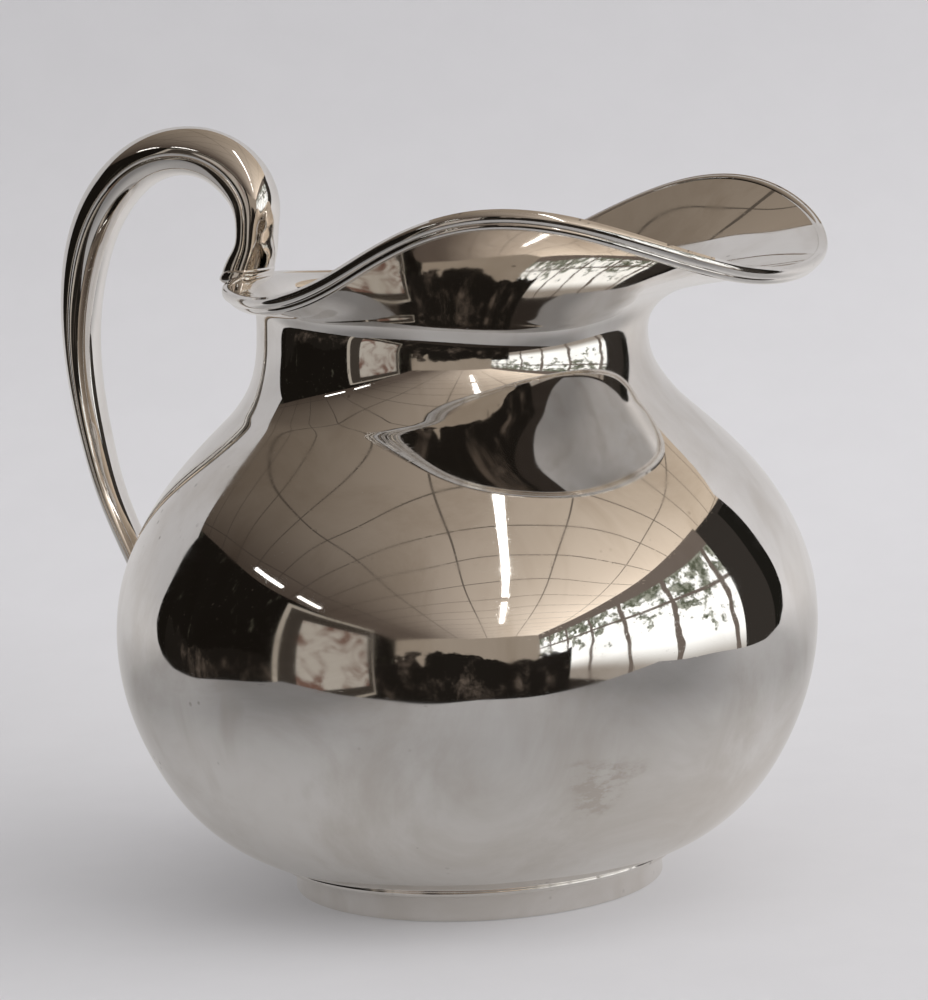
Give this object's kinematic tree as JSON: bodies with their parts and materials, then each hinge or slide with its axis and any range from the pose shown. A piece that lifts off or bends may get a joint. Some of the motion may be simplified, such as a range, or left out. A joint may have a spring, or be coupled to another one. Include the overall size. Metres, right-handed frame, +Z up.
{
  "type": "water pitcher",
  "caption": "Silver water pitcher with a round bulbous bowl on a low foot ring, a narrow neck, a lobed flaring lip with a broad spout and a high hollow loop handle.",
  "frame": {"origin": "centre of the foot ring's resting face, on the axis of the bowl", "axes": "+Z up along the axis of the bowl, +X toward the tip of the spout, the handle stands at -X, Y across the spout; the XZ plane is the plane of symmetry"},
  "size_m": [0.2083, 0.178, 0.1942],
  "materials": {
    "silver_body": "mirror-polished sterling silver with light surface wear",
    "silver_wire": "polished silver wire",
    "silver_foot": "polished silver with darker corners",
    "silver_handle": "polished silver"
  },
  "bodies": {
    "root": {"bowl": "silver_body", "neck_and_lip": "silver_body", "lip_upper_wire": "silver_wire", "lip_lower_wire": "silver_wire", "foot_band": "silver_foot", "foot_collar_wire": "silver_foot", "handle_outer_shell": "silver_handle", "handle_inner_shell": "silver_handle", "handle_lip_saddle": "silver_handle", "handle_body_pad": "silver_handle"}
  },
  "joints": []
}
